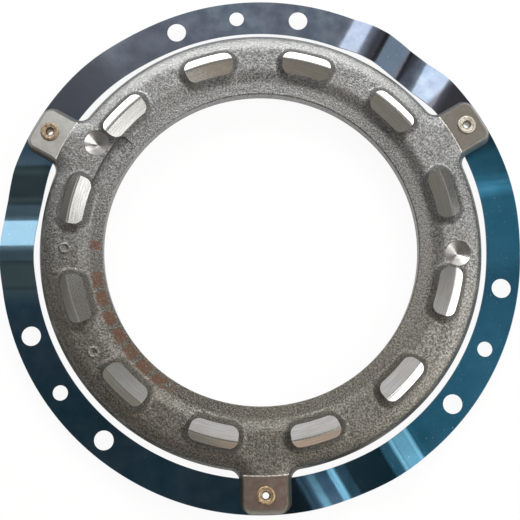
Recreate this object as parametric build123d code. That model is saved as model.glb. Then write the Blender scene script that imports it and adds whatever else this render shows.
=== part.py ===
"""Clutch pressure plate with its one-piece leaf ring, in millimetres, +Z away from the flywheel.

The cast plate hangs on a thin spring-steel ring by three hollow rivets, one through each lug.
The ring is bolted down between the lugs, so that it lets the plate move along Z and nowhere else.
Z = 0 is the plane the ring is bolted to, and the Z axis is the axis of the clutch.
"""
from build123d import *
from math import atan2, cos, degrees, hypot, radians, sin, tan
import os

# Layout round the axis, in degrees
lug_count = 3
first_lug_angle = 30.0
pads_per_lug = 4
hole_group_angle = 64.8         # from a lug, anticlockwise, to the dowel hole of the next group
bolt_spread = 15.0              # from the dowel hole to each bolt hole beside it

# Leaf ring
bolt_circle_radius = 133.0
ring_width = 18.6
ring_thickness = 1.0
bolt_hole_diameter = 10.5
dowel_hole_diameter = 8.2
lug_lift = 5.0                  # height of the ring's underside under a lug
leaf_start = 37.0               # the free leaf climbs from here, in degrees before the lug,
leaf_end = 11.0                 # to here
leaf_straight = 1.3             # between the leaf's two long bends
joggle_axis = 30.0              # the joggle's bends are parallel to this radius, past the lug
joggle_start = -46.2            # distance across that radius at which it leaves the lug's flat
first_fall_run = 16.0           # the joggle's runs, one after another along the ring
trough_run = 10.8
rise_run = 16.0
crest_run = 9.0
last_fall_run = 12.3
trough_depth = 2.2              # below the bolted plane
crest_height = 3.4              # above it
bend_radius = 12.0

# Cast plate
friction_face_height = 1.5
ring_gap = 3.6                  # between the plate's rim and the ring's inner edge
bore_radius = 85.5
lug_seat_gap = 0.0              # the lugs rest on the ring, face to face
cast_top_height = 12.9
casting_draft = 23.0            # slope of the rim and lug sides above the ring
top_edge_bevel = 2.1
inner_land_drop = 2.4           # from the cast top to the land round the bore
inner_land_width = 8.0
inner_step_width = 4.0          # of the slope between them
face_chamfer = 0.8
bore_edge_chamfer = 0.6

# Lugs of the plate
lug_width = 27.4
lug_end_margin = 9.1            # past the bolt circle
lug_corner_radius = 6.5
lug_root_radius = 6.0
lug_face_drop = 1.9             # from the cast top to the lugs' machined tops
lug_face_margin = 1.8           # they start this far outside the rim

# Fulcrum pads for the diaphragm spring
ridge_rise = 4.7                # above the cast top
ridge_radius = 105.0
pad_inner_width = 8.0           # from the ridge to each edge
pad_outer_width = 4.0
pad_length = 26.8               # along the ridge
pad_corner_radius = 4.6
crown_inner_drop = 2.0          # fall of the turned crown from the ridge to the inner edge
crown_outer_drop = 1.1          # and to the outer edge
pad_sink = 0.2                  # the pads' feet start below the inner land
pad_draft = 36.0                # slope of the cast flanks

# Balance drillings and the casting's gate pocket
balance_drill_diameter = 13.5
balance_drill_tip_angle = 118.0
balance_drill_offset = 1.3      # outside the ridge's circle
balance_drill_sink = 0.4        # full diameter below the cast top
balance_drill_angles = (146.4, 357.0)
pocket_lug = 1                  # counted from the first lug
pocket_length = 33.0
pocket_inner_radius = 88.5
pocket_width = 9.5
pocket_corner_radius = 4.2
pocket_sink = 0.5               # below the inner land

# Hollow lug rivets
rivet_inset = 1.0               # rivet circle inside the bolt circle
rivet_shank_diameter = 6.4
rivet_bore_diameter = 3.6
rivet_head_diameter = 11.0
rivet_head_thickness = 0.9
rivet_flange_diameter = 10.1
rivet_flange_height = 1.0
rivet_curl = 0.55               # bevel of the rolled edge
rivet_mouth_flare = 0.5
shank_clearance = 0.05          # all round, in the ring and in the lug

# Worked out from the sizes above
lug_pitch = 360 / lug_count
lug_angles = [first_lug_angle + i * lug_pitch for i in range(lug_count)]
pad_pitch = lug_pitch / pads_per_lug
pad_angles = [first_lug_angle + (i + 0.5) * pad_pitch for i in range(lug_count * pads_per_lug)]
ring_inner_radius = bolt_circle_radius - ring_width / 2
ring_outer_radius = bolt_circle_radius + ring_width / 2
lug_underside = lug_lift + ring_thickness + lug_seat_gap
rim_radius = ring_inner_radius - ring_gap
lug_reach = bolt_circle_radius + lug_end_margin
lug_side = lug_reach - rim_radius
lug_face_height = cast_top_height - lug_face_drop
inner_land_height = cast_top_height - inner_land_drop
inner_land_radius = bore_radius + inner_land_width
inner_step_radius = inner_land_radius + inner_step_width
ridge_height = cast_top_height + ridge_rise
pad_inner_radius = ridge_radius - pad_inner_width
pad_outer_radius = ridge_radius + pad_outer_width
balance_drill_radius = ridge_radius + balance_drill_offset
pocket_outer_radius = pocket_inner_radius + pocket_width
rivet_circle_radius = bolt_circle_radius - rivet_inset
rivet_hole_diameter = rivet_shank_diameter + 2 * shank_clearance
overrun = 3.0                   # cutters run this far past what they cut
clear_height = ridge_height + overrun
same_place = 0.01               # edges and corners closer than this are at the same place
fillets_per_side = 2.1          # two fillets share a side, with a little left between them


def polar(radius, angle, z=0.0):
    return Vector(radius * cos(radians(angle)), radius * sin(radians(angle)), z)


def wedge(radius, start, end):
    """Three-cornered face that holds all of a disc between two angles."""
    reach = 2 * radius / cos(radians(end - start) / 2)
    return make_face(Polyline(Vector(0, 0), polar(reach, start), polar(reach, end), close=True))


def ring_sector(inner_radius, outer_radius, start, end):
    return (Circle(outer_radius) - Circle(inner_radius)) & wedge(outer_radius, start, end)


def strip(corners, radii, axis_angle, start, end):
    """Part of the ring between two angles, with bends parallel to the radius at axis_angle."""
    underside = FilletPolyline(*corners, radius=radii)
    section = make_face(underside.wire().offset_2d(ring_thickness, side=Side.LEFT, closed=True))
    across = Plane(origin=(0, 0, 0), x_dir=polar(1, axis_angle + 90), z_dir=polar(1, axis_angle))
    sheet = extrude(across * section, amount=2 * ring_outer_radius)
    sector = ring_sector(ring_inner_radius, ring_outer_radius, start, end)
    return sheet & extrude(Pos(0, 0, -clear_height) * sector, amount=2 * clear_height)


def free_leaf(lug_angle):
    """The leaf that climbs from the bolted plane to the lug as a shallow S."""
    axis_angle = lug_angle - (leaf_start + leaf_end) / 2
    rise_end = bolt_circle_radius * sin(radians(leaf_start - leaf_end) / 2) / 2
    slope = atan2(lug_lift, 2 * rise_end)
    radius = (hypot(lug_lift, 2 * rise_end) - leaf_straight) / 2 / tan(slope / 2)
    corners = [(-ring_outer_radius, 0), (-rise_end, 0), (rise_end, lug_lift), (ring_outer_radius, lug_lift)]
    return strip(corners, [radius, radius], axis_angle, lug_angle + hole_group_angle - lug_pitch, lug_angle)


def joggle(lug_angle):
    """The pressed waves that let the ring stretch between a lug and the next bolts."""
    trough_start = joggle_start + first_fall_run
    trough_end = trough_start + trough_run
    crest_start = trough_end + rise_run
    crest_end = crest_start + crest_run
    corners = [(-ring_outer_radius, lug_lift), (joggle_start, lug_lift),
               (trough_start, -trough_depth), (trough_end, -trough_depth),
               (crest_start, crest_height), (crest_end, crest_height),
               (crest_end + last_fall_run, 0), (ring_outer_radius, 0)]
    radii = [bend_radius] * (len(corners) - 2)
    return strip(corners, radii, lug_angle + joggle_axis, lug_angle, lug_angle + hole_group_angle)


def through_drill(radius, angle, diameter):
    """Drill that goes right through the part."""
    return Pos(polar(radius, angle)) * Cylinder(diameter / 2, 2 * clear_height)


def ring_holes():
    """Bolt and dowel holes of each group, and the rivet hole under each lug."""
    holes = []
    for lug_angle in lug_angles:
        group = lug_angle + hole_group_angle
        holes.append(through_drill(bolt_circle_radius, group - bolt_spread, bolt_hole_diameter))
        holes.append(through_drill(bolt_circle_radius, group, dowel_hole_diameter))
        holes.append(through_drill(bolt_circle_radius, group + bolt_spread, bolt_hole_diameter))
        holes.append(through_drill(rivet_circle_radius, lug_angle, rivet_hole_diameter))
    return holes


def make_leaf_ring():
    pieces = []
    for lug_angle in lug_angles:
        pieces += [free_leaf(lug_angle), joggle(lug_angle)]
    ring = pieces[0].fuse(*pieces[1:]).clean()
    return ring.cut(*ring_holes())


def drafted(outline, foot, top, neutral, angle):
    """Prism with sides that lean in towards +Z and pass through the outline at the neutral height."""
    prism = extrude(Pos(0, 0, foot) * outline, amount=top - foot)
    sides = [f for f in prism.faces() if abs(f.normal_at().Z) < same_place]
    return draft(sides, Plane(origin=(0, 0, neutral)), angle)


def plate_outline():
    """Disc with three lugs, rounded at their outer corners and roots."""
    lug = Pos(lug_reach / 2, 0) * Rectangle(lug_reach, lug_width) & Circle(lug_reach)
    outline = Circle(rim_radius)
    for lug_angle in lug_angles:
        outline += Rot(0, 0, lug_angle) * lug
    tips = [v for v in outline.vertices() if hypot(v.X, v.Y) > (rim_radius + lug_reach) / 2]
    outline = fillet(tips, min(lug_corner_radius, lug_side / fillets_per_side))
    roots = [v for v in outline.vertices() if abs(hypot(v.X, v.Y) - rim_radius) < same_place]
    return fillet(roots, min(lug_root_radius, lug_side / fillets_per_side))


def plate_blank():
    """The casting before its middle is opened: a turned disc under the drafted rim and lugs."""
    upper = drafted(plate_outline(), lug_underside, cast_top_height, lug_underside, casting_draft)
    top = upper.faces().sort_by(Axis.Z)[-1]
    upper = chamfer(top.outer_wire().edges(), top_edge_bevel)
    disc = Pos(0, 0, friction_face_height) * Circle(rim_radius)
    lower = extrude(disc, amount=lug_underside - friction_face_height)
    lower = chamfer(lower.edges().group_by(Axis.Z)[0], face_chamfer)
    return upper + lower


def middle_cutter():
    """Turned solid of the chamfered bore, the low inner land and the slope up to the pads."""
    slope = (inner_step_radius - inner_land_radius) / (cast_top_height - inner_land_height)
    over = cast_top_height + overrun
    over_radius = inner_step_radius + slope * overrun
    under = friction_face_height - overrun
    corners = [(0, under), (bore_radius + face_chamfer + overrun, under),
               (bore_radius, friction_face_height + face_chamfer),
               (bore_radius, inner_land_height - bore_edge_chamfer),
               (bore_radius + bore_edge_chamfer, inner_land_height),
               (inner_land_radius, inner_land_height), (over_radius, over), (0, over)]
    return revolve(Plane.XZ * make_face(Polyline(*corners, close=True)), axis=Axis.Z)


def pad_section(inner_radius, outer_radius, half_angle, corner_radius):
    section = ring_sector(inner_radius, outer_radius, -half_angle, half_angle)
    return fillet(section.vertices(), min(corner_radius, (outer_radius - inner_radius) / fillets_per_side))


def make_pad():
    """One fulcrum pad on +X, with cast flanks, up to the ridge's height."""
    half_angle = degrees(pad_length / 2 / ridge_radius)
    top = pad_section(pad_inner_radius, pad_outer_radius, half_angle, pad_corner_radius)
    return drafted(top, inner_land_height - pad_sink, ridge_height, ridge_height, pad_draft)


def crown_cutter():
    """Turned solid above the pads' crown: two slopes that meet in the fulcrum ridge."""
    inner_slope = crown_inner_drop / (ridge_radius - pad_inner_radius)
    outer_slope = crown_outer_drop / (pad_outer_radius - ridge_radius)
    corners = [(pad_inner_radius - overrun, ridge_height - crown_inner_drop - inner_slope * overrun),
               (ridge_radius, ridge_height),
               (pad_outer_radius + overrun, ridge_height - crown_outer_drop - outer_slope * overrun),
               (pad_outer_radius + overrun, clear_height), (pad_inner_radius - overrun, clear_height)]
    return revolve(Plane.XZ * make_face(Polyline(*corners, close=True)), axis=Axis.Z)


def lug_face_cutter():
    """Turned solid that faces the lugs' tops down to the rivet flange's seat."""
    face = Circle(lug_reach + overrun) - Circle(rim_radius + lug_face_margin)
    return extrude(Pos(0, 0, lug_face_height) * face, amount=clear_height - lug_face_height)


def balance_drills():
    """Conical drillings that take weight off the heavy side."""
    radius = balance_drill_diameter / 2
    tip = radius / tan(radians(balance_drill_tip_angle / 2))
    shoulder = cast_top_height - balance_drill_sink
    corners = [(0, shoulder - tip), (radius, shoulder), (radius, clear_height), (0, clear_height)]
    drill = revolve(Plane.XZ * make_face(Polyline(*corners, close=True)), axis=Axis.Z)
    return [Pos(polar(balance_drill_radius, angle)) * drill for angle in balance_drill_angles]


def gate_pocket():
    """Shallow pocket where the metal entered the mould, cut into the slope beside one lug."""
    middle = (pocket_inner_radius + pocket_outer_radius) / 2
    half_angle = degrees(pocket_length / 2 / middle)
    section = pad_section(pocket_inner_radius, pocket_outer_radius, half_angle, pocket_corner_radius)
    floor = inner_land_height - pocket_sink
    pocket = extrude(Pos(0, 0, floor) * section, amount=clear_height - floor)
    return Rot(0, 0, lug_angles[pocket_lug]) * pocket


def make_pressure_plate():
    """The casting, with its pads turned, its lugs faced and its friction face ground."""
    pad = make_pad()
    plate = plate_blank() - middle_cutter()
    plate = plate.fuse(*[Rot(0, 0, angle) * pad for angle in pad_angles])
    plate = plate.cut(crown_cutter(), lug_face_cutter(), gate_pocket(), *balance_drills())
    return plate.cut(*[through_drill(rivet_circle_radius, angle, rivet_hole_diameter) for angle in lug_angles])


def make_rivet():
    """Hollow rivet on the Z axis: flat head under the ring, shank, and flange rolled over the lug."""
    shank = rivet_shank_diameter / 2
    bore = rivet_bore_diameter / 2
    head = rivet_head_diameter / 2
    flange = rivet_flange_diameter / 2
    head_top = lug_lift
    head_bottom = head_top - rivet_head_thickness
    flange_top = lug_face_height + rivet_flange_height
    corners = [(bore, head_bottom), (head, head_bottom), (head, head_top), (shank, head_top),
               (shank, lug_face_height), (flange, lug_face_height), (flange, flange_top), (bore, flange_top)]
    profile = make_face(Polyline(*corners, close=True))
    curl = profile.vertices().sort_by_distance((flange, flange_top))[0]
    profile = chamfer(curl, rivet_curl)
    mouth = profile.vertices().sort_by_distance((bore, flange_top))[0]
    profile = chamfer(mouth, rivet_mouth_flare)
    return revolve(Plane.XZ * profile, axis=Axis.Z)


def main():
    os.makedirs("parts", exist_ok=True)
    export_step(make_leaf_ring(), "parts/leaf_ring.step")
    export_step(make_pressure_plate(), "parts/pressure_plate.step")
    rivet = make_rivet()
    for number, angle in enumerate(lug_angles, start=1):
        placed = Pos(polar(rivet_circle_radius, angle)) * rivet
        export_step(placed, f"parts/lug_rivet_{number}.step")


main()
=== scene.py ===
"""Clutch pressure plate with its leaf ring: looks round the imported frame. Metres, +Z from the flywheel."""

import math

import bmesh
import bpy
import numpy as np
from mathutils import Matrix, Vector, geometry, kdtree, noise

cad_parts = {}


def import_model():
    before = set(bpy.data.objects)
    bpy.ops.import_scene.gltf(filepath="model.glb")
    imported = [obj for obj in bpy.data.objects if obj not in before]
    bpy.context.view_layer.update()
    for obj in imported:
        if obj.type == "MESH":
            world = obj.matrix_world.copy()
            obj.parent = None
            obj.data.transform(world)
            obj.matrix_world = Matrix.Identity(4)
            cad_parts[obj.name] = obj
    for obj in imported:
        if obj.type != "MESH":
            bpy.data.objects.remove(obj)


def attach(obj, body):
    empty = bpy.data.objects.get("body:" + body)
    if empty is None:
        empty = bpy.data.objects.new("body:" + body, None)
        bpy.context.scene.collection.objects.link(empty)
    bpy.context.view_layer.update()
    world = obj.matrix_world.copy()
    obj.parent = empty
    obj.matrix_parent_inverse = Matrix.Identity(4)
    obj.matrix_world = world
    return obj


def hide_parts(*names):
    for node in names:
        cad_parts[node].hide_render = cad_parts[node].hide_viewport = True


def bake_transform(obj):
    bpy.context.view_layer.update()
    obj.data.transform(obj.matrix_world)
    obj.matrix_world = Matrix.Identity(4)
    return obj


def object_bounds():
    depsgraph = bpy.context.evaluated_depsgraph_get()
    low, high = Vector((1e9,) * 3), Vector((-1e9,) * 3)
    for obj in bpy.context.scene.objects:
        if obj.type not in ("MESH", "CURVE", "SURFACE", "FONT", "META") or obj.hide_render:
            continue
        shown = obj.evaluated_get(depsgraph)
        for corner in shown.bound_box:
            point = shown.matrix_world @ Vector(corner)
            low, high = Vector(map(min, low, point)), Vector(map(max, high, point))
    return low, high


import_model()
cad_box = [list(corner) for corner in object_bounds()]
MM = 0.001
DEGREES = 180 / math.pi

# Sizes of the ring, as in the frame, in millimetres and degrees
LUGS = (30.0, 150.0, 270.0)
RING_MIDDLE, RING_WIDTH, RING_THICK = 133.0, 18.6, 1.0
RING_IN, RING_OUT = RING_MIDDLE - RING_WIDTH / 2, RING_MIDDLE + RING_WIDTH / 2
RING_EDGE = 0.13                        # bevel of the strip's edges and of its holes
RIVET_CIRCLE, RIVET_HOLE = 132.0, 6.5
BOLT_HOLE, DOWEL_HOLE = 10.5, 8.2
GROUP, SPREAD = 64.8, 15.0              # from a lug to the next dowel hole, and from that to its bolt holes
LUG_PITCH = 120
LIFT, TROUGH, CREST = 5.0, 2.2, 3.4     # at a lug, below the bolted plane, and above it
LEAF_AXIS, JOGGLE_AXIS = -24.0, 30.0    # direction of the bend lines, from the lug
LEAF_RISE, LEAF_STRAIGHT = 14.96, 1.3   # half the length of the leaf's climb, and the flat in its middle
JOGGLE_START = -46.2
JOGGLE_RUNS = (16.0, 10.8, 16.0, 9.0, 12.3)         # fall, trough, rise, crest and last fall
BEND, BEND_STEPS = 12.0, 8
FOLLOW = (11.0, 37.0)                   # from a lug, where the steel leaves it and where it lies still
TRAVEL_DOWN = 4.5                       # of the plate, towards the flywheel

# Sizes of the casting, seen from above
RIM, BORE = 120.1, 85.5
REACH, HALF_LUG = 142.1, 13.7           # of a lug, from the axis and to each side
CORNER, ROOT = 6.5, 6.0                 # a lug's outer corners, and its fillets into the rim
LUG_STEP, STEP_HALF = 121.9, 0.36       # the step down to a lug's faced top, and half its width
SLOPE_IN, SLOPE_OUT = 91.6, 99.6        # the slope from the inner land to the top
PAD_IN, PAD_RIDGE, PAD_OUT, PAD_CORNER = 97.0, 105.0, 109.0, 4.6
PAD_ALPHA = 13.4 / PAD_RIDGE            # half a pad's angle, in radians
PADS = [45.0 + 30 * i for i in range(12)]
PIPS = ((105.7, 179.5), (105.9, 211.5))             # small cast rings: radius and angle
POCKET = (150.0, 88.5, 98.0, 16.5 / 93.25, 4.2)     # angle, radii, half angle, corner
DRILLS = ((106.3, 146.4), (106.3, 357.0))           # balance drillings: radius and angle
DRILL_RADIUS = 6.75
RIVET_WALL = 3.25                       # radius of the rivet hole in a lug

# Heights of the casting
BOTTOM, LUG_SEAT, LAND, LUG_FACE, TOP, RIDGE = 1.5, 6.0, 10.5, 11.0, 12.9, 17.6
POCKET_FLOOR = 10.0
BORE_BEVEL, FACE_BEVEL = 0.6, 0.8
RIM_DRAFT, PAD_DRAFT = 23, 36           # degrees from upright
BEVEL_WIDTH, BEVEL_SLOPE = 5.03, 0.661  # how far in the bevel over the rim's wall ends, and its slope
CROWN_INNER, CROWN_OUTER = 0.25, 0.275  # slopes of a pad's crown on each side of its ridge
CROWN_PEAK = RIDGE + 0.08               # where the two slopes would meet
WALL_SOFT, TOP_SOFT, CROWN_SOFT, FOOT_SOFT = 1.4, 3.4, 0.36, 2.0        # how far corners are rounded
WAVES = ((0.10, 7.0, 1.7), (0.05, 2.6, 5.1))        # the sand's waviness: height, size and seed
POCKET_WAVES = (0.04, 2.2, 9.0)
DRILL_TIP, DRILL_SLOPE = 8.44, 0.601    # height of a drilling's tip, and the slope round it
PIP_RADIUS, PIP_RISE, PIP_WIDTH = 2.35, 0.42, 0.55  # of a small cast ring
PIP_DIMPLE, DIMPLE_WIDTH = 0.22, 1.2    # depth and width of the dimple in its middle

# Fineness of the meshes: sides of turned forms, and the angles from which an edge is sharp
RING_SIDES, HOLE_SIDES, RIVET_SIDES, PLATE_SIDES = 1080, 56, 72, 720
RING_SHARP, RIVET_SHARP, PLATE_SHARP = 32, 50, 27
OUTLINE_INSETS = (0.0, 0.2, 1.4, 2.65, 5.0)
PAD_INSETS = (0.0, -0.12, 0.35)
POCKET_INSETS = (0.0, -0.3)
RIDGE_LINES = (-0.7, 0, 0.7)
DRILL_CIRCLES = (0.6, 1.7, 2.8, 3.9, 5.0, 6.1, DRILL_RADIUS, DRILL_RADIUS + 0.25)
DRILL_STEP = 0.0873                     # radians between the points of such a circle
PIP_CIRCLES = (0.5, 1.0, 1.45, 1.9, 2.35, 2.8, 3.3, 3.9)
SMALL_STEP = 0.4                        # between the points round a pip or a rivet hole
TIP_EDGE = 0.05                         # a short edge that puts a point at a drilling's tip
STEP_END = 2.2                          # from the end of a step's lines to the lug's side
RIDGE_END = 1.0                         # from the end of a ridge's lines to the pad's end
FILL_PITCH, FILL_CLEAR = 0.62, 0.3      # between free points, and from them to a line
EDGE_SLACK = 1e-3                       # a point this near to a cut form's line lies on it
OUTLINE_SLACK = 0.06                    # and one this near to the outline lies on that
OUTER_ZONE, FINE_STEP = 108, 0.1        # beyond this radius, distance is from outline points at this pitch
RIM_MARGIN = 1                          # from this far inside the rim's circle, faces are tested singly
CHORD_SLACK = 0.05                      # what the chords of a rivet hole leave of its circle
SEAT_LAP = 0.6                          # how far a lug's seat reaches inside the rim's circle
FACED_SLACK = 0.02                      # a faced corner lies at most this far below LUG_FACE
STEP_RISE = 0.1                         # the step's faces climb more than this above LUG_FACE
WELD = 5e-6                             # metres between points that become one

# Finishes of the casting, in the order of its material slots
CAST, TURNED, FACED, DRILLED, GROUND, CUT = range(6)


def polar(radius, angle, z=0.0):
    a = math.radians(angle)
    return Vector((radius * math.cos(a), radius * math.sin(a), z))


def linear(r, g, b):
    """Linear colour of a screen colour in 0..255."""
    out = []
    for c in (r, g, b):
        c /= 255
        out.append(c / 12.92 if c <= 0.04045 else ((c + 0.055) / 1.055) ** 2.4)
    return (*out, 1.0)


def turned_points(radius, z, count, middle):
    """Points of a level circle about a middle."""
    return [middle + polar(radius, 360 * i / count, z) for i in range(count)]


def placed(name, data):
    """New object in the scene."""
    item = bpy.data.objects.new(name, data)
    bpy.context.scene.collection.objects.link(item)
    return item


# ---------------------------------------------------------------- node helpers
class Nodes:
    """Short way to build the node tree of a material or of the world."""

    def __init__(self, owner):
        self.owner = owner
        owner.use_nodes = True
        self.tree = owner.node_tree
        self.tree.nodes.clear()

    def add(self, kind, inputs=None, **settings):
        node = self.tree.nodes.new("ShaderNode" + kind)
        for key, value in settings.items():
            setattr(node, key, value)
        for key, value in (inputs or {}).items():
            self.put(node.inputs[key], value)
        return node

    def put(self, socket, value):
        if isinstance(value, bpy.types.NodeSocket):
            self.tree.links.new(value, socket)
        elif isinstance(value, bpy.types.Node):
            self.tree.links.new(value.outputs[0], socket)
        else:
            socket.default_value = value

    def math(self, op, a, b=0.0):
        return self.add("Math", {0: a, 1: b}, operation=op).outputs[0]

    def plus(self, a, b):
        return self.math("ADD", a, b)

    def times(self, a, b):
        return self.math("MULTIPLY", a, b)

    def off(self, value, middle):
        """How far a value is from a middle."""
        return self.math("ABSOLUTE", self.math("SUBTRACT", value, middle))

    def length(self, x, y):
        return self.math("SQRT", self.plus(self.times(x, x), self.times(y, y)))

    def step(self, value, low, high):
        """0 below low, 1 above high, smooth between. low may be the larger one."""
        span = (low, high, 0.0, 1.0) if low <= high else (high, low, 1.0, 0.0)
        inputs = dict(enumerate((value, *span)))
        return self.add("MapRange", inputs, interpolation_type="SMOOTHSTEP").outputs[0]

    def spread(self, value, low, high, to_low, to_high):
        """A value between low and high, moved evenly to between to_low and to_high."""
        inputs = dict(enumerate((value, low, high, to_low, to_high)))
        return self.add("MapRange", inputs).outputs[0]

    def mix(self, share, a, b, blend="MIX"):
        """Colour a, turned towards colour b by a share."""
        return self.add("Mix", {0: share, 6: a, 7: b}, data_type="RGBA", blend_type=blend).outputs[2]

    def place(self):
        """Object coordinates in millimetres."""
        at = self.add("TexCoord").outputs["Object"]
        return self.add("VectorMath", {0: at, "Scale": 1 / MM}, operation="SCALE").outputs[0]

    def split(self, vector):
        return self.add("SeparateXYZ", {0: vector}).outputs

    def join(self, x, y, z):
        return self.add("CombineXYZ", {0: x, 1: y, 2: z}).outputs[0]

    def noise(self, vector, scale, detail=2.0, rough=0.5):
        inputs = {"Vector": vector, "Scale": scale, "Detail": detail, "Roughness": rough}
        return self.add("TexNoise", inputs).outputs[0]

    def bump(self, height, strength, distance, normal=None):
        node = self.add("Bump", {"Height": height, "Strength": strength, "Distance": distance})
        if normal is not None:
            self.put(node.inputs["Normal"], normal)
        return node.outputs[0]

    def surface(self, node, out="OutputMaterial"):
        """Ends the tree with a shader, and gives back the material or world."""
        self.put(self.add(out).inputs[0], node.outputs[0])
        return self.owner

    def shader(self, **inputs):
        """Ends the tree with a Principled shader. A _ in a name stands for a space."""
        sockets = {key.replace("_", " "): value for key, value in inputs.items()}
        return self.surface(self.add("BsdfPrincipled", sockets))


def material(name):
    return Nodes(bpy.data.materials.new(name))


# ---------------------------------------------------------------- materials
# Painted shade on the blued steel: darker bands above the right lug, as angle, half width and tint
SHADE_BANDS = ((37.0, 3.6, (66, 67, 74)), (55.5, 5.6, (64, 67, 75)), (55.4, 2.6, (58, 68, 79)))
# and painted highlights: thin streaks across the joggle after the lower lug, as place, half width and share
HIGHLIGHT_STREAKS = ((-40.6, 1.9, 0.5), (-29.5, 1.8, 0.5), (5.8, 1.2, 0.5), (10.5, 4.2, 0.26), (15.2, 1.3, 0.42))


def blued_steel():
    """Blued spring steel: an oxide that varies slowly in tint, with painted reflections and painted shade on
    its top, bends and edges, fine rolling marks and small bright specks.
    """
    n = material("blued_spring_steel")
    at = n.place()
    x, y, _ = n.split(at)
    radius = n.length(x, y)
    sweep = n.times(n.math("ARCTAN2", y, x), DEGREES)
    slow = n.noise(at, 0.022, 2.0, 0.5)
    cloud = n.noise(at, 0.12, 3.0, 0.55)
    fine = n.noise(at, 2.2, 3.0, 0.6)

    # Blue to the left, deeper to the right, and at the top a paler grey-blue that is a painted reflection,
    # darker towards the upper left
    drift = n.step(slow, 0.38, 0.62)
    tint = n.mix(drift, linear(50, 76, 96), linear(40, 75, 95))
    tint = n.mix(n.spread(cloud, 0.3, 0.7, 0.0, 0.22), tint, linear(82, 94, 108))
    tint = n.mix(n.step(x, 30.0, 80.0), tint, n.mix(drift, linear(19, 53, 67), linear(26, 58, 74)))
    slate_reflection = n.mix(n.spread(cloud, 0.35, 0.65, 0.0, 1.0), linear(84, 95, 110), linear(105, 117, 128))
    slate_reflection = n.mix(n.times(n.step(slow, 0.42, 0.58), 0.35), slate_reflection, linear(94, 92, 106))
    slate_reflection = n.mix(n.step(sweep, 104.0, 132.0), slate_reflection, linear(74, 78, 86))
    tint = n.mix(n.step(y, 48.0, 82.0), tint, slate_reflection)
    # Painted shade: the darker bands
    for middle, half, band_shade in SHADE_BANDS:
        tint = n.mix(n.step(n.off(sweep, middle), half + 0.8, half - 0.8), tint, linear(*band_shade))

    # Lighter at the far left, where the strip is joggled after the left lug
    lighter_zone = n.times(n.step(x, -112.0, -122.0), n.step(n.off(y, 14.0), 44.0, 33.0))
    tint = n.mix(lighter_zone, tint, linear(76, 99, 112))

    # Painted highlights: thin streaks across the joggle after the lower lug; and painted shade: a darker
    # patch beside that lug
    along = n.plus(n.times(x, 0.866), n.times(y, 0.5))
    low = n.step(y, -60.0, -80.0)
    thin = 0.0
    for middle, half, share in HIGHLIGHT_STREAKS:
        streak = n.times(n.step(n.off(along, middle), half + 1.3, half - 1.3), share)
        thin = n.math("MAXIMUM", thin, streak)
    tint = n.mix(n.times(thin, low), tint, linear(104, 156, 178))
    lug_side_shade = n.times(n.step(along, -42.5, -44.5), low)
    tint = n.mix(n.times(lug_side_shade, n.step(x, 8.0, 12.0)), tint, linear(28, 44, 56))

    # Painted reflection: lighter where the leaf climbs to the right lug
    climb = n.step(n.off(sweep, 18.0), 7.0, 3.0)
    tint = n.mix(n.times(climb, 0.8), tint, linear(52, 108, 134))
    specks = n.step(n.noise(at, 1.3, 1.0, 0.4), 0.735, 0.78)
    tint = n.mix(n.times(specks, 0.18), tint, linear(196, 206, 216))
    # Painted highlights along the strip's outer and inner edges
    outer_edge_highlight = n.step(radius, RING_OUT - 0.3, RING_OUT - 0.1)
    inner_edge_highlight = n.step(radius, RING_IN + 0.25, RING_IN + 0.05)
    tint = n.mix(n.times(n.plus(outer_edge_highlight, inner_edge_highlight), 0.35), tint, linear(160, 175, 190))
    waves = n.bump(n.noise(at, 0.055, 1.0, 0.4), 0.35, 0.0005)
    return n.shader(Base_Color=tint, Metallic=1.0, Roughness=n.spread(cloud, 0.25, 0.75, 0.17, 0.24),
                    Normal=n.bump(fine, 0.05, 0.00006, waves))


def rust_share(n, at, x, y, z, radius):
    """Rust on the inner land: blots between clean gaps at the lower left, and one more beside them."""
    angle = n.math("ARCTAN2", y, x)
    sweep = n.times(angle, DEGREES)
    gaps = n.step(n.math("ABSOLUTE", n.math("SINE", n.times(angle, 26.0))), 0.28, 0.5)
    long = n.times(n.step(sweep, -120.0, -126.0), n.step(sweep, -175.0, -172.0))
    lone = n.times(n.step(sweep, 176.0, 177.5), n.step(sweep, 181.0, 179.6))
    band = n.times(n.step(radius, 86.2, 87.4), n.step(radius, 93.4, 91.8))
    blot = n.math("MAXIMUM", n.times(n.times(gaps, long), band), n.times(lone, band))
    rust = n.times(blot, n.step(n.noise(at, 0.5, 3.0, 0.6), 0.32, 0.5))
    return n.times(rust, n.step(z, 9.0, 9.8))


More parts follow.
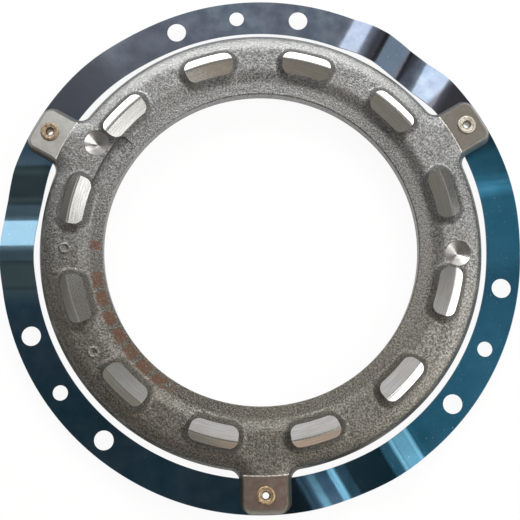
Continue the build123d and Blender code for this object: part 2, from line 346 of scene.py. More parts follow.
def cast_skin():
    """Sand-cast grey iron: a dark grainy skin with brighter crests, a painted highlight on the upper rim,
    painted shade on the right slope and towards the bottom, and a little rust round the bore.
    """
    n = material("grey_iron")
    at = n.place()
    x, y, z = n.split(at)
    radius = n.length(x, y)
    grain = n.noise(at, 1.05, 2.5, 0.6)
    fine = n.noise(at, 2.6, 2.0, 0.6)
    coarse = n.noise(at, 0.33, 2.0, 0.5)
    patch = n.noise(at, 0.04, 3.0, 0.55)
    skin = n.mix(n.step(grain, 0.36, 0.66), linear(74, 75, 75), linear(155, 156, 155))
    skin = n.mix(n.spread(coarse, 0.3, 0.7, 0.0, 0.35), skin, linear(112, 111, 108))
    skin = n.mix(n.spread(patch, 0.35, 0.65, 0.0, 0.3), skin, linear(135, 134, 130))

    # Rubbed smoother on the upper rim, with a painted highlight there, and on the lugs' sides
    lighter_zone = n.times(n.step(radius, 109.5, 113.5), n.step(y, 60.0, 95.0))
    skin = n.mix(n.times(lighter_zone, 0.5), skin, linear(132, 133, 132))
    smooth = n.step(radius, 121.0, 123.0)
    skin = n.mix(n.times(smooth, 0.75), skin, linear(140, 139, 132))

    # Painted shade on the slope to the right, and more painted shade towards the bottom, where the skin is
    # also warmer
    slope_shade = n.times(n.step(radius, 101.0, 98.0), n.step(x, 10.0, 70.0))
    skin = n.mix(n.times(slope_shade, 0.35), skin, linear(70, 67, 62))
    lower_shade = n.step(n.plus(n.times(x, 0.5), n.times(y, 0.87)), 30.0, -90.0)
    skin = n.mix(lower_shade, skin, (0.70, 0.69, 0.67, 1), blend="MULTIPLY")
    skin = n.mix(n.step(y, 30.0, -70.0), skin, (1.0, 0.955, 0.875, 1), blend="MULTIPLY")
    relief = n.plus(n.plus(grain, n.times(fine, 0.4)), n.times(coarse, 0.7))
    relief = n.times(relief, n.spread(lighter_zone, 0.0, 1.0, 1.0, 0.55))
    relief = n.times(relief, n.spread(smooth, 0.0, 1.0, 1.0, 0.5))

    rust = rust_share(n, at, x, y, z, radius)
    brown = n.mix(n.noise(at, 1.4, 3.0, 0.6), linear(58, 34, 18), linear(112, 72, 44))
    slope = n.times(n.step(radius, 91.5, 93.5), n.step(radius, 100.5, 98.5))
    rough = n.plus(n.spread(grain, 0.3, 0.7, 0.42, 0.33), n.times(rust, 0.35))
    return n.shader(Base_Color=n.mix(n.times(rust, 0.85), skin, brown),
                    Metallic=n.math("SUBTRACT", 0.85, n.times(rust, 0.75)),
                    Roughness=n.plus(rough, n.times(slope, 0.11)), Normal=n.bump(relief, 0.9, 0.0003))


def turned_metal(name, low, high, stain, rough, lines_per_mm, stain_share):
    """Iron cut on a lathe: fine marks round the axis, brighter and duller streaks, and a thin stain."""
    n = material(name)
    at = n.place()
    x, y, z = n.split(at)
    radius = n.length(x, y)
    angle = n.math("ARCTAN2", y, x)
    streaks = n.noise(n.join(n.times(radius, 1.6), n.times(angle, 7.0), z), 1.0, 3.0, 0.6)
    lines = n.noise(n.join(n.times(radius, lines_per_mm), n.times(angle, 3.0), 0.0), 1.0, 2.0, 0.5)
    blotch = n.noise(at, 0.14, 2.0, 0.5)
    metal = n.mix(n.step(streaks, 0.3, 0.7), linear(*low), linear(*high))
    metal = n.mix(n.spread(blotch, 0.35, 0.65, 0.0, stain_share), metal, linear(*stain))
    return n.shader(Base_Color=metal, Metallic=1.0, Normal=n.bump(lines, 0.3, 0.00005),
                    Roughness=n.spread(streaks, 0.3, 0.7, rough + 0.03, rough - 0.02))


def faced_metal():
    """The lugs' faced tops: smooth, each with its own thin stain."""
    n = material("faced_lugs")
    at = n.place()
    x, y, _ = n.split(at)
    angle = n.math("ARCTAN2", y, x)
    fine = n.noise(n.join(n.times(n.length(x, y), 5.0), n.times(angle, 3.0), 0.0), 1.0, 2.0, 0.5)
    blotch = n.noise(at, 0.22, 3.0, 0.55)
    metal = n.mix(n.step(x, -40.0, 40.0), linear(196, 198, 194), linear(124, 120, 112))
    metal = n.mix(n.step(y, 0.0, -60.0), metal, linear(124, 106, 97))
    metal = n.mix(n.spread(blotch, 0.35, 0.65, 0.0, 0.4), metal, linear(168, 160, 152))
    metal = n.mix(n.spread(fine, 0.3, 0.7, 0.0, 0.22), metal, linear(92, 87, 82))
    return n.shader(Base_Color=metal, Metallic=1.0, Normal=n.bump(fine, 0.2, 0.00004),
                    Roughness=n.spread(blotch, 0.3, 0.7, 0.34, 0.28))


def cut_edge():
    """The step down to each lug's faced top, where the cutter left a fresh wall, painted pale as a standing
    highlight.
    """
    n = material("cut_iron_highlight")
    at = n.place()
    tone = n.noise(at, 0.6, 3.0, 0.55)
    fine = n.noise(at, 3.0, 2.0, 0.6)
    metal = n.mix(n.step(tone, 0.3, 0.7), linear(206, 204, 198), linear(236, 234, 228))
    return n.shader(Base_Color=metal, Metallic=0.05, Normal=n.bump(fine, 0.4, 0.00006),
                    Roughness=n.spread(tone, 0.3, 0.7, 0.5, 0.36))


def drilled_metal():
    """The conical bottoms of the balance drillings: rings left by the drill's lips."""
    n = material("drilled_iron")
    at = n.place()
    x, y, _ = n.split(at)
    centres = [polar(*drill) for drill in DRILLS]
    far = [n.length(n.math("SUBTRACT", x, c.x), n.math("SUBTRACT", y, c.y)) for c in centres]
    lines = n.noise(n.join(n.times(n.math("MINIMUM", *far), 5.0), 0.0, 0.0), 1.0, 2.0, 0.5)
    tone = n.noise(at, 0.5, 2.0, 0.5)
    colour = n.mix(n.step(lines, 0.3, 0.7), linear(150, 148, 146), linear(200, 199, 197))
    colour = n.mix(n.spread(tone, 0.35, 0.65, 0.0, 0.35), colour, linear(128, 122, 116))
    return n.shader(Base_Color=colour, Metallic=1.0, Roughness=0.3, Normal=n.bump(lines, 0.25, 0.00004))


def plated(name, low, high, rough):
    """Plated steel of a rivet: two tones of a thin stain, and a fine grain."""
    n = material(name)
    at = n.place()
    tone = n.noise(at, 0.8, 3.0, 0.6)
    fine = n.noise(at, 5.0, 2.0, 0.6)
    colour = n.mix(n.step(tone, 0.3, 0.7), linear(*low), linear(*high))
    return n.shader(Base_Color=colour, Metallic=1.0, Normal=n.bump(fine, 0.25, 0.00004),
                    Roughness=n.spread(tone, 0.3, 0.7, rough, rough + 0.12))


# ---------------------------------------------------------------- the leaf ring
def rounded_line(corners, radii):
    """Points of a polyline with rounded corners, and the same line moved up by the ring's thickness."""
    low, high = [], []

    def put(x, z, slope):
        low.append((x, z))
        high.append((x - RING_THICK * math.sin(slope), z + RING_THICK * math.cos(slope)))

    slopes = [math.atan2(b[1] - a[1], b[0] - a[0]) for a, b in zip(corners, corners[1:])]
    put(*corners[0], slopes[0])
    for (x, z), radius, before, after in zip(corners[1:-1], radii, slopes, slopes[1:]):
        cut = radius * math.tan(abs(after - before) / 2)
        start = (x - cut * math.cos(before), z - cut * math.sin(before))
        turn = radius if after > before else -radius
        middle = (start[0] - turn * math.sin(before), start[1] + turn * math.cos(before))
        for i in range(BEND_STEPS + 1):
            slope = before + (after - before) * i / BEND_STEPS
            put(middle[0] + turn * math.sin(slope), middle[1] - turn * math.cos(slope), slope)
    put(*corners[-1], slopes[-1])
    return np.array(low), np.array(high)


def ring_lines():
    """Sections of the strip's two sides: where the leaf climbs to a lug, and over the joggle after it."""
    slope = math.atan2(LIFT, 2 * LEAF_RISE)
    bend = (math.hypot(LIFT, 2 * LEAF_RISE) - LEAF_STRAIGHT) / 2 / math.tan(slope / 2)
    corners = [(-RING_OUT, 0), (-LEAF_RISE, 0), (LEAF_RISE, LIFT), (RING_OUT, LIFT)]
    leaf = rounded_line(corners, [bend, bend])
    stops = [JOGGLE_START]
    for run in JOGGLE_RUNS:
        stops.append(stops[-1] + run)
    heights = [LIFT, -TROUGH, -TROUGH, CREST, CREST, 0]
    joggle = rounded_line([(-RING_OUT, LIFT), *zip(stops, heights), (RING_OUT, 0)], [BEND] * len(stops))
    return leaf, joggle


def flat_ring():
    """The strip as a flat ring with bevelled edges."""
    across = np.linspace(RING_IN + RING_EDGE, RING_OUT - RING_EDGE, 9)
    section = [(r, 0.0) for r in across]
    section += [(RING_OUT, RING_EDGE), (RING_OUT, RING_THICK - RING_EDGE)]
    section += [(r, RING_THICK) for r in across[::-1]]
    section += [(RING_IN, RING_THICK - RING_EDGE), (RING_IN, RING_EDGE)]
    count = len(section)
    verts = [polar(r, 360 * i / RING_SIDES, z) for i in range(RING_SIDES) for r, z in section]
    faces = []
    for i in range(RING_SIDES):
        here, there = i * count, (i + 1) % RING_SIDES * count
        for k in range(count):
            m = (k + 1) % count
            faces.append((here + k, here + m, there + m, there + k))
    mesh = bpy.data.meshes.new("leaf_ring_steel")
    mesh.from_pydata(verts, [], faces)
    return placed("leaf_ring_steel", mesh)


def drill_ring(ring):
    """Cuts the ring's holes, with their bevels."""
    cutters = bmesh.new()
    n, over = HOLE_SIDES, 1.0
    for lug in LUGS:
        holes = [(RING_MIDDLE, lug + GROUP - SPREAD, BOLT_HOLE), (RING_MIDDLE, lug + GROUP, DOWEL_HOLE),
                 (RING_MIDDLE, lug + GROUP + SPREAD, BOLT_HOLE), (RIVET_CIRCLE, lug, RIVET_HOLE)]
        for reach, angle, diameter in holes:
            radius, middle = diameter / 2, polar(reach, angle)
            wide = radius + RING_EDGE + over
            profile = [(wide, -over), (radius, RING_EDGE),
                       (radius, RING_THICK - RING_EDGE), (wide, RING_THICK + over)]
            rings = [[cutters.verts.new(at) for at in turned_points(r, z, n, middle)] for r, z in profile]
            for a, b in zip(rings, rings[1:]):
                for i in range(n):
                    cutters.faces.new((a[i], a[(i + 1) % n], b[(i + 1) % n], b[i]))
            cutters.faces.new(rings[0][::-1])
            cutters.faces.new(rings[-1])
    mesh = bpy.data.meshes.new("ring_drills")
    cutters.to_mesh(mesh)
    cutters.free()
    tool = placed("ring_drills", mesh)
    modifier = ring.modifiers.new("drill", "BOOLEAN")
    modifier.operation, modifier.solver, modifier.object = "DIFFERENCE", "EXACT", tool
    bpy.context.view_layer.update()
    drilled = bpy.data.meshes.new_from_object(ring.evaluated_get(bpy.context.evaluated_depsgraph_get()))
    ring.modifiers.clear()
    ring.data = drilled
    bpy.data.objects.remove(tool)


def ring_mesh():
    """The flat ring with its holes, then bent up and down along the parallel bend lines."""
    ring = flat_ring()
    drill_ring(ring)
    co = np.array([v.co for v in ring.data.vertices], float)
    theta = np.degrees(np.arctan2(co[:, 1], co[:, 0]))
    leaf, joggle = ring_lines()
    z = np.zeros(len(co))
    weight = np.zeros(len(co))
    for lug in LUGS:
        rel = (theta - lug + 180) % 360 - 180
        before = (rel >= GROUP - LUG_PITCH) & (rel < 0)
        after = (rel >= 0) & (rel < GROUP)
        for axis, (low, high), part in ((lug + LEAF_AXIS, leaf, before), (lug + JOGGLE_AXIS, joggle, after)):
            along = polar(1, axis + 90)
            s = co[:, 0] * along.x + co[:, 1] * along.y
            bottom = np.interp(s, low[:, 0], low[:, 1])
            top = np.interp(s, high[:, 0], high[:, 1])
            z = np.where(part, bottom + co[:, 2] / RING_THICK * (top - bottom), z)
        near = np.where(before | after, np.interp(np.abs(rel), FOLLOW, [1.0, 0.0]), 0)
        weight = np.maximum(weight, near * near * (3 - 2 * near))
    co[:, 2] = z
    co *= MM
    ring.data.vertices.foreach_set("co", co.astype(np.float32).ravel())
    ring.data.update()
    ring.data.shade_smooth()
    ring.data.set_sharp_from_angle(angle=math.radians(RING_SHARP))
    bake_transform(ring)
    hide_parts("leaf_ring")
    ring.data.materials.clear()
    ring.data.materials.append(blued_steel())


# ---------------------------------------------------------------- rivets
# Section of a rivet, as radius and height: bore, head, shank and the rolled flange
RIVET_LINE = ((1.80, 4.10), (5.35, 4.10), (5.50, 4.25), (5.50, 4.85), (5.40, 5.00), (3.20, 5.00),
              (3.20, 11.00), (4.70, 11.00), (4.96, 11.10), (5.05, 11.36), (5.00, 11.66), (4.82, 11.86),
              (4.52, 11.96), (4.10, 11.99), (3.62, 11.97), (3.40, 11.90), (3.22, 11.80), (3.02, 11.82),
              (2.72, 11.84), (2.46, 11.74), (2.24, 11.50), (2.04, 11.16), (1.88, 10.80), (1.80, 10.40))
# Tones and roughness of the rivets at the right, left and lower lug
RIVET_TONES = (((144, 140, 128), (190, 184, 170), 0.38),
               ((108, 93, 76), (166, 148, 126), 0.42),
               ((124, 105, 82), (184, 163, 132), 0.38))


def rivet(number, angle, finish):
    """Hollow rivet: flat head, shank, and the flange that the setting tool has rolled over the lug."""
    mesh = bmesh.new()
    middle = polar(RIVET_CIRCLE, angle)
    n = RIVET_SIDES
    rings = [[mesh.verts.new(at * MM) for at in turned_points(r, z, n, middle)] for r, z in RIVET_LINE]
    for a, b in zip(rings, rings[1:] + rings[:1]):
        for i in range(n):
            mesh.faces.new((a[i], a[(i + 1) % n], b[(i + 1) % n], b[i]))
    bmesh.ops.recalc_face_normals(mesh, faces=mesh.faces)
    data = bpy.data.meshes.new(f"rolled_rivet_{number}")
    mesh.to_mesh(data)
    mesh.free()
    data.shade_smooth()
    data.set_sharp_from_angle(angle=math.radians(RIVET_SHARP))
    piece = placed(f"rolled_rivet_{number}", data)
    data.materials.append(finish)
    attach(piece, "plate")
    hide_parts(f"lug_rivet_{number}")


# ---------------------------------------------------------------- lines of the casting
def arc(cx, cy, radius, start, end, step=0.5):
    """Points along an arc, from start to end in degrees, without the last one."""
    count = max(2, int(abs(radius * math.radians(end - start)) / step))
    turn = np.radians(start + (end - start) * np.arange(count) / count)
    return np.stack([cx + radius * np.cos(turn), cy + radius * np.sin(turn)], 1)


def circle(radius, centre=(0, 0), step=0.5):
    return arc(centre[0], centre[1], radius, 0, 360, step)


def open_arc(radius, angle, reach):
    """Points along an arc round the axis, to both sides of an angle, with its last one."""
    last = polar(radius, angle + reach)
    return np.concatenate([arc(0, 0, radius, angle - reach, angle + reach), [last.xy]])


def straight(a, b, step):
    count = max(1, int(math.dist(a, b) / step))
    share = np.arange(count)[:, None] / count
    return np.array(a) * (1 - share) + np.array(b) * share


def turned(points, angle):
    a = math.radians(angle)
    return points @ np.array([[math.cos(a), math.sin(a)], [-math.sin(a), math.cos(a)]])


def outline(inset, step=0.5):
    """The disc with its three lugs, seen from above, moved in by inset."""
    rim, reach, half = RIM - inset, REACH - inset, HALF_LUG - inset
    corner, root = CORNER - inset, ROOT + inset
    cy = half + root
    cx = math.sqrt((rim + root) ** 2 - cy ** 2)
    phi = math.degrees(math.atan2(cy, cx))
    ty = half - corner
    tx = math.sqrt((reach - corner) ** 2 - ty ** 2)
    psi = math.degrees(math.atan2(ty, tx))
    lug = np.concatenate([
        arc(cx, -cy, root, 180 - phi, 90, step), straight((cx, -half), (tx, -half), step),
        arc(tx, -ty, corner, -90, -psi, step), arc(0, 0, reach, -psi, psi, step),
        arc(tx, ty, corner, psi, 90, step), straight((tx, half), (cx, half), step),
        arc(cx, cy, root, 270, 180 + phi, step)])
    between = arc(0, 0, rim, phi, LUG_PITCH - phi, step)
    return np.concatenate([turned(np.concatenate([lug, between]), angle) for angle in LUGS])


def within_lug(x, y):
    """Whether a point beyond the rim's circle is within a lug, with x outward along it and y to its side."""
    if math.hypot(x, y) <= RIM:
        return True
    if y <= HALF_LUG:
        ty = HALF_LUG - CORNER
        tx = math.sqrt((REACH - CORNER) ** 2 - ty ** 2)
        if x > tx and y > ty and math.atan2(y, x) > math.atan2(ty, tx):
            return math.hypot(x - tx, y - ty) <= CORNER
        return math.hypot(x, y) <= REACH
    cy = HALF_LUG + ROOT
    cx = math.sqrt((RIM + ROOT) ** 2 - cy ** 2)
    before = x < cx and y < cy and math.atan2(y, x) < math.atan2(cy, cx)
    return before and math.hypot(x - cx, y - cy) >= ROOT


def sector(points, angle, inner, outer, alpha, corner):
    """Distance inside (positive) a rounded sector of half angle alpha, from plan points."""
    rel = np.radians((np.degrees(np.arctan2(points[:, 1], points[:, 0])) - angle + 180) % 360 - 180)
    radius = np.hypot(points[:, 0], points[:, 1])
    dx = np.abs(radius - (inner + outer) / 2) - ((outer - inner) / 2 - corner)
    dy = (np.abs(rel) - alpha) * radius + corner
    away = np.hypot(np.maximum(dx, 0), np.maximum(dy, 0)) + np.minimum(np.maximum(dx, dy), 0)
    return corner - away


def sector_line(angle, inner, outer, alpha, corner, inset, step=0.45):
    """The rounded sector's outline moved in by inset, found along rays from its middle."""
    middle = (inner + outer) / 2
    half = alpha * middle
    count = int(2 * ((outer - inner) + 2 * half) / step)
    turn = 2 * math.pi * np.arange(count) / count
    lo, hi = np.zeros(count), np.full(count, 2 * half)
    ux, uy = np.cos(turn) * (outer - inner) / 2, np.sin(turn) * half
    length = np.hypot(ux, uy)
    ux, uy = ux / length, uy / length

    def along(reach):
        r = middle + ux * reach
        a = math.radians(angle) + uy * reach / middle
        return np.stack([r * np.cos(a), r * np.sin(a)], 1)

    for _ in range(40):
        mid = (lo + hi) / 2
        d = sector(along(mid), angle, inner, outer, alpha, corner)
        lo, hi = np.where(d > inset, mid, lo), np.where(d > inset, hi, mid)
    return along(lo)


def from_point(points, centre):
    """Distance of plan points from one point."""
    return np.hypot(points[:, 0] - centre.x, points[:, 1] - centre.y)


def from_nearest(points, others):
    """Distance of each plan point from the nearest of the others."""
    tree = kdtree.KDTree(len(others))
    for i, (x, y) in enumerate(others):
        tree.insert((x, y, 0), i)
    tree.balance()
    return np.array([tree.find((x, y, 0))[2] for x, y in points])


# ---------------------------------------------------------------- height of the casting
def soft_min(a, b, k):
    """The smaller of two heights, with the corner between them rounded over about k."""
    h = np.clip(0.5 + 0.5 * (b - a) / k, 0, 1)
    return b * (1 - h) + a * h - k * h * (1 - h)


def soft_max(a, b, k):
    return -soft_min(-a, -b, k)


def pad_distance(points):
    """Distance inside the nearest pad's machined top."""
    best = np.full(len(points), -1e9)
    for angle in PADS:
        best = np.maximum(best, sector(points, angle, PAD_IN, PAD_OUT, PAD_ALPHA, PAD_CORNER))
    return best


def rough_skin(points, size, seed):
    return np.array([noise.noise(Vector((x / size, y / size, seed))) for x, y in points])


def height(points, inside):
    """Top of the casting over plan points. inside is the distance from the outline."""
    radius = np.hypot(points[:, 0], points[:, 1])
    t = np.clip((radius - SLOPE_IN) / (SLOPE_OUT - SLOPE_IN), 0, 1)
    base = LAND + (TOP - LAND) * t * t * (3 - 2 * t)
    side = LUG_SEAT + inside / math.tan(math.radians(RIM_DRAFT))
    wall = soft_min(side, TOP + (inside - BEVEL_WIDTH) * BEVEL_SLOPE, WALL_SOFT)
    z = soft_min(base, wall, TOP_SOFT)
    for swell, size, seed in WAVES:
        z = z + swell * rough_skin(points, size, seed) * np.clip(inside, 0, 1)

    # Pads: a crown of two slopes, and flanks that run out softly
    past = radius - PAD_RIDGE
    crown = soft_min(CROWN_PEAK + CROWN_INNER * past, CROWN_PEAK - CROWN_OUTER * past, CROWN_SOFT)
    d = pad_distance(points)
    flank = crown + np.minimum(d, 0) / math.tan(math.radians(PAD_DRAFT))
    z = np.where(d > -EDGE_SLACK, crown, soft_max(z, flank, FOOT_SOFT))

    # Lug faces, the gate pocket and the balance drillings are cut down, and the small rings stand up
    z = np.where(radius > LUG_STEP, np.minimum(z, LUG_FACE), z)
    swell, size, seed = POCKET_WAVES
    pocket_floor = POCKET_FLOOR + swell * rough_skin(points, size, seed)
    z = np.where(sector(points, *POCKET) > -EDGE_SLACK, np.minimum(z, pocket_floor), z)
    for drill in DRILLS:
        far = from_point(points, polar(*drill))
        z = np.where(far < DRILL_RADIUS + 0.01, np.minimum(z, DRILL_TIP + far * DRILL_SLOPE), z)
    for pip in PIPS:
        far = from_point(points, polar(*pip))
        ring = PIP_RISE * np.exp(-((far - PIP_RADIUS) / PIP_WIDTH) ** 2)
        z = z + ring - PIP_DIMPLE * np.exp(-(far / DIMPLE_WIDTH) ** 2)
    edge = radius - BORE
    return np.where(edge < BORE_BEVEL, np.minimum(z, LAND - BORE_BEVEL + edge), z)


# ---------------------------------------------------------------- mesh of the casting
def plate_lines():
    """Lines that the top's mesh keeps, each with whether it is closed."""
    lines = [(outline(inset), True) for inset in OUTLINE_INSETS]
    lines += [(circle(radius), True) for radius in (BORE, BORE + BORE_BEVEL)]
    step_reach = math.degrees((HALF_LUG - STEP_END) / LUG_STEP)
    for lug in LUGS:
        lines += [(open_arc(LUG_STEP + side * STEP_HALF, lug, step_reach), False) for side in (-1, 1)]
        lines.append((circle(RIVET_WALL, polar(RIVET_CIRCLE, lug), SMALL_STEP), True))
    ridge_reach = math.degrees(PAD_ALPHA - RIDGE_END / PAD_RIDGE)
    for angle in PADS:
        for inset in PAD_INSETS:
            lines.append((sector_line(angle, PAD_IN, PAD_OUT, PAD_ALPHA, PAD_CORNER, inset), True))
        lines += [(open_arc(PAD_RIDGE + off, angle, ridge_reach), False) for off in RIDGE_LINES]
    lines += [(sector_line(*POCKET, inset), True) for inset in POCKET_INSETS]
    for drill in DRILLS:
        centre = polar(*drill)
        for radius in DRILL_CIRCLES:
            lines.append((circle(radius, centre, radius * DRILL_STEP), True))
        lines.append((np.array([centre.xy, centre.xy + Vector((TIP_EDGE, 0.0))]), False))
    for pip in PIPS:
        for radius in PIP_CIRCLES:
            lines.append((circle(radius, polar(*pip), SMALL_STEP), True))
    return lines


def fill_points(fixed):
    """Points between the lines, on staggered circles."""
    rows = []
    for k, radius in enumerate(np.arange(BORE + FILL_PITCH, REACH, FILL_PITCH * 0.9)):
        n = int(2 * math.pi * radius / FILL_PITCH)
        turn = 2 * math.pi * (np.arange(n) + 0.5 * (k % 2)) / n
        rows.append(np.stack([radius * np.cos(turn), radius * np.sin(turn)], 1))
    fill = np.concatenate(rows)
    radius = np.hypot(fill[:, 0], fill[:, 1])
    theta = np.degrees(np.arctan2(fill[:, 1], fill[:, 0]))
    rel = np.min([np.abs((theta - lug + 180) % 360 - 180) for lug in LUGS], axis=0)
    lug_sector = 9.5                    # degrees to each side of a lug that hold all of its roots
    fill = fill[(radius < RIM) | (rel < lug_sector)]
    fill = fill[from_nearest(fill, fixed) > FILL_CLEAR]
    for drill in DRILLS:
        fill = fill[from_point(fill, polar(*drill)) > DRILL_RADIUS]
    return fill


def top_plan():
    """The top seen from above: its points, its faces and the middles of those."""
    lines = plate_lines()
    edges, start = [], 0
    for points, closed in lines:
        n = len(points)
        edges += [(start + i, start + (i + 1) % n) for i in range(n if closed else n - 1)]
        start += n
    fixed = np.concatenate([points for points, closed in lines])
    points = np.concatenate([fixed, fill_points(fixed)])
    all_triangles, tolerance = 0, 1e-5
    plan = geometry.delaunay_2d_cdt([Vector(p) for p in points], edges, [], all_triangles, tolerance)
    verts, _, faces, *_ = plan
    flat, faces = np.array(verts, float), np.array(faces)

    # Keep the faces within the outline and outside the holes
    middle = flat[faces].mean(1)
    far = np.hypot(middle[:, 0], middle[:, 1])
    theta = np.degrees(np.arctan2(middle[:, 1], middle[:, 0]))
    keep = far > BORE
    for i in np.where(far > RIM - RIM_MARGIN)[0]:
        lug = min(LUGS, key=lambda a: abs((theta[i] - a + 180) % 360 - 180))
        x, y = turned(middle[i:i + 1], -lug)[0]
        keep[i] = within_lug(x, abs(y))
    for lug in LUGS:
        keep &= from_point(middle, polar(RIVET_CIRCLE, lug)) > RIVET_WALL - CHORD_SLACK
    return flat, faces[keep], middle[keep]


def underside(flat, faces, far, offset):
    """Rim wall, friction face and bore, turned; the lugs' seats; and the walls of the rivet holes."""
    profile = [(RIM, LUG_SEAT), (RIM, BOTTOM + FACE_BEVEL), (RIM - FACE_BEVEL, BOTTOM), (110, BOTTOM),
               (103, BOTTOM), (95, BOTTOM), (BORE + FACE_BEVEL, BOTTOM), (BORE, BOTTOM + FACE_BEVEL),
               (BORE, 6.0), (BORE, LAND - BORE_BEVEL)]
    friction_face = range(2, 6)
    n = PLATE_SIDES
    turn = 2 * math.pi * np.arange(n) / n
    parts = [np.column_stack([r * np.cos(turn), r * np.sin(turn), np.full(n, h)]) for r, h in profile]
    made, kinds = [], []
    for k in range(len(profile) - 1):
        here, there = offset + k * n, offset + (k + 1) * n
        for i in range(n):
            j = (i + 1) % n
            made.append((here + i, there + i, there + j, here + j))
            kinds.append(GROUND if k in friction_face else CAST)
    base = offset + n * len(profile)
    parts.append(np.column_stack([flat, np.full(len(flat), LUG_SEAT)]))
    seats = [tuple(base + v for v in face[::-1]) for face in faces[far > RIM - SEAT_LAP].tolist()]
    made += seats
    kinds += [CAST] * len(seats)
    base += len(flat)
    for lug in LUGS:
        ring_points = circle(RIVET_WALL, polar(RIVET_CIRCLE, lug), SMALL_STEP)
        m = len(ring_points)
        parts += [np.column_stack([ring_points, np.full(m, h)]) for h in (LUG_SEAT, LUG_FACE)]
        made += [(base + i, base + m + i, base + m + (i + 1) % m, base + (i + 1) % m) for i in range(m)]
        kinds += [FACED] * m
        base += 2 * m
    return parts, made, kinds


def sharpen_borders(data, finish_count):
    """Makes each border between two finishes a sharp line too."""
    sharp = data.attributes.get("sharp_edge") or data.attributes.new("sharp_edge", "BOOLEAN", "EDGE")
    flags = np.zeros(len(data.edges), bool)
    sharp.data.foreach_get("value", flags)
    loop_edge = np.zeros(len(data.loops), int)
    sizes = np.zeros(len(data.polygons), int)
    finish = np.zeros(len(data.polygons), int)
    data.loops.foreach_get("edge_index", loop_edge)
    data.polygons.foreach_get("loop_total", sizes)
    data.polygons.foreach_get("material_index", finish)
    low, high = np.full(len(flags), finish_count), np.full(len(flags), -1)
    np.minimum.at(low, loop_edge, np.repeat(finish, sizes))
    np.maximum.at(high, loop_edge, np.repeat(finish, sizes))
    flags |= low != high
    sharp.data.foreach_set("value", flags)


def plate_mesh(finishes):
    """The casting: its top as one skin over lines that keep each cut edge sharp, and a turned underside."""
    flat, faces, middle = top_plan()
    radius = np.hypot(flat[:, 0], flat[:, 1])
    inside = RIM - radius
    outer = radius > OUTER_ZONE
    inside[outer] = from_nearest(flat[outer], outline(0.0, FINE_STEP))
    inside[inside < OUTLINE_SLACK] = 0.0
    z = height(flat, inside)

    # One finish for each face
    far = np.hypot(middle[:, 0], middle[:, 1])
    kind = np.full(len(faces), CAST)
    kind[pad_distance(middle) > 0.0] = TURNED
    kind[(far > LUG_STEP - STEP_HALF) & (z[faces].min(1) > LUG_FACE - FACED_SLACK)] = FACED
    kind[(abs(far - LUG_STEP) < STEP_HALF) & (z[faces].max(1) > LUG_FACE + STEP_RISE)] = CUT
    for drill in DRILLS:
        kind[from_point(middle, polar(*drill)) < DRILL_RADIUS] = DRILLED

    parts, lower, lower_kind = underside(flat, faces, far, len(flat))
    every = np.concatenate([np.column_stack([flat, z]), *parts]) * MM
    data = bpy.data.meshes.new("cast_plate")
    data.from_pydata(every.tolist(), [], [tuple(face) for face in faces.tolist()] + lower)
    data.polygons.foreach_set("material_index", np.array(kind.tolist() + lower_kind, np.int32))
    mesh = bmesh.new()
    mesh.from_mesh(data)
    loose = [v for v in mesh.verts if not v.link_faces]
    bmesh.ops.delete(mesh, geom=loose, context="VERTS")
    bmesh.ops.remove_doubles(mesh, verts=mesh.verts, dist=WELD)
    mesh.to_mesh(data)
    mesh.free()
    for finish in finishes:
        data.materials.append(finish)
    data.shade_smooth()
    data.set_sharp_from_angle(angle=math.radians(PLATE_SHARP))
    sharpen_borders(data, len(finishes))
    piece = placed("cast_plate", data)
    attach(piece, "plate")
    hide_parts("pressure_plate")


# ---------------------------------------------------------------- camera, floor and light
VIEW_TILT, VIEW_ROLL, VIEW_TURN = -9.01, 0.47, -1.1     # degrees
EYE = Vector((-0.0013, -0.0421, 5.0)) * (RING_MIDDLE * MM)
LENS, SENSOR = 83.9, 36.0
SHIFT = 0.00096

# Softboxes: azimuth and elevation in degrees, distance, width and height in metres, and power
LAMPS = {"box_top": (91, 39, 1.1, 1.75, 0.52, 14.8),
         "box_right": (348, 42, 1.1, 0.80, 0.66, 6.2),
         "box_over": (352, 70, 1.1, 0.38, 0.40, 1.25)}

# Haze in the studio: azimuth, elevation, where it ends and where it is full in degrees, and colour
HAZE = ((100, 61, 25, 8, (0.80, 0.78, 0.80)),
        (287, 64, 20, 5, (0.66, 0.47, 0.36)),
        (318, 23, 28, 10, (0.60, 0.56, 0.50)),
        (212, 64, 24, 8, (0.20, 0.18, 0.15)))

# Light of the studio's walls between the horizon and the darker, warmer ceiling, by the sine of elevation
WALLS = ((0.12, 0.7), (0.3, 0.3), (0.6, 0.22))
CEILING = (0.215, 0.21, 0.185, 1)


def camera():
    """The viewing point: high over the part, a little towards -Y."""
    roll = Matrix.Rotation(math.radians(VIEW_ROLL), 3, "Y")
    tilt = Matrix.Rotation(math.radians(VIEW_TILT), 3, "X") @ roll
    to_part = Matrix.Rotation(math.radians(VIEW_TURN), 3, "Z") @ tilt.transposed()
    data = bpy.data.cameras.new("camera")
    data.sensor_width, data.lens = SENSOR, LENS
    data.shift_x, data.shift_y = -SHIFT, SHIFT
    data.clip_start, data.clip_end = 0.01, 20
    cam = placed("camera", data)
    cam.matrix_world = Matrix.Translation(to_part @ EYE) @ to_part.to_4x4()
    bpy.context.scene.camera = cam


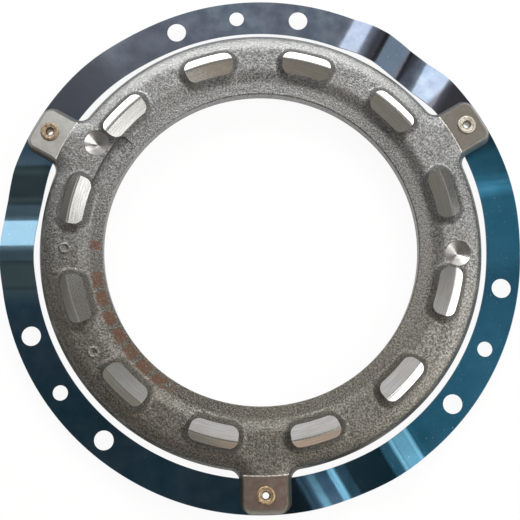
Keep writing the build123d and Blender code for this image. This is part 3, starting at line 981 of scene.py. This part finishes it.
def floor():
    """A wide white floor, which a ray from the camera or a reflection sees as plain white."""
    n = material("floor_white")
    rays = n.add("LightPath").outputs
    mirrored = n.math("MAXIMUM", rays["Is Glossy Ray"], rays["Is Transmission Ray"])
    seen = n.math("MAXIMUM", rays["Is Camera Ray"], mirrored)
    matt = n.add("BsdfDiffuse", {"Color": (0.86, 0.86, 0.86, 1)})
    glow = n.add("Emission", {"Color": (1, 1, 1, 1), "Strength": 1.0})
    n.surface(n.add("MixShader", {0: n.times(seen, 0.93), 1: matt, 2: glow}))
    mesh = bpy.data.meshes.new("floor")
    half = 6.0
    z = cad_box[0][2] - (TRAVEL_DOWN + 0.1) * MM        # clear of the joggles' troughs at full travel
    corners = [(-half, -half, z), (half, -half, z), (half, half, z), (-half, half, z)]
    mesh.from_pydata(corners, [], [(0, 1, 2, 3)])
    mesh.materials.append(n.owner)
    plane = placed("floor", mesh)


def direction(azimuth, elevation):
    a, e = math.radians(azimuth), math.radians(elevation)
    return Vector((math.cos(a) * math.cos(e), math.sin(a) * math.cos(e), math.sin(e)))


def softbox(name, azimuth, elevation, distance, width, height, power):
    data = bpy.data.lights.new(name, "AREA")
    data.shape, data.size, data.size_y = "RECTANGLE", width, height
    data.energy = power
    lamp = placed(name, data)
    lamp.location = direction(azimuth, elevation) * distance
    lamp.rotation_mode = "QUATERNION"
    lamp.rotation_quaternion = (-lamp.location).to_track_quat("-Z", "Y")


def world():
    """A studio: pale at the horizon, darker and warmer overhead, with a soft haze round the lights."""
    studio = bpy.data.worlds.new("studio")
    bpy.context.scene.world = studio
    n = Nodes(studio)
    way = n.add("TexCoord").outputs["Generated"]
    ramp = n.add("ValToRGB", {"Fac": n.split(way)[2]})
    stops = ramp.color_ramp.elements
    stops[0].position, stops[0].color = 0.0, (1, 1, 1, 1)
    stops[1].position, stops[1].color = 1.0, CEILING
    for sine, shade in WALLS:
        stops.new(sine).color = (shade, shade * 0.98, shade * 0.94, 1)
    light = ramp.outputs[0]
    for azimuth, elevation, outer, inner, colour in HAZE:
        near = n.add("VectorMath", {0: way, 1: direction(azimuth, elevation)}, operation="DOT_PRODUCT")
        ends, full = math.cos(math.radians(outer)), math.cos(math.radians(inner))
        share = n.step(near.outputs["Value"], ends, full)
        light = n.mix(share, light, n.mix(1.0, light, (*colour, 1), blend="ADD"))
    n.surface(n.add("Background", {"Color": light, "Strength": 1.0}), out="OutputWorld")


ring_mesh()
plate_mesh([
    cast_skin(),
    turned_metal("turned_pads", (168, 169, 167), (184, 185, 183), stain=(166, 157, 146), rough=0.15,
                 lines_per_mm=6.0, stain_share=0.25),
    faced_metal(),
    drilled_metal(),
    turned_metal("ground_face", (140, 140, 140), (178, 178, 180), stain=(120, 118, 116), rough=0.3,
                 lines_per_mm=4.0, stain_share=0.3),
    cut_edge()])
for number, (angle, tones) in enumerate(zip(LUGS, RIVET_TONES), start=1):
    rivet(number, angle, plated(f"plated_rivet_{number}", *tones))
camera()
floor()
for name, lamp in LAMPS.items():
    softbox(name, *lamp)
world()
bpy.context.scene.view_settings.view_transform = "Standard"
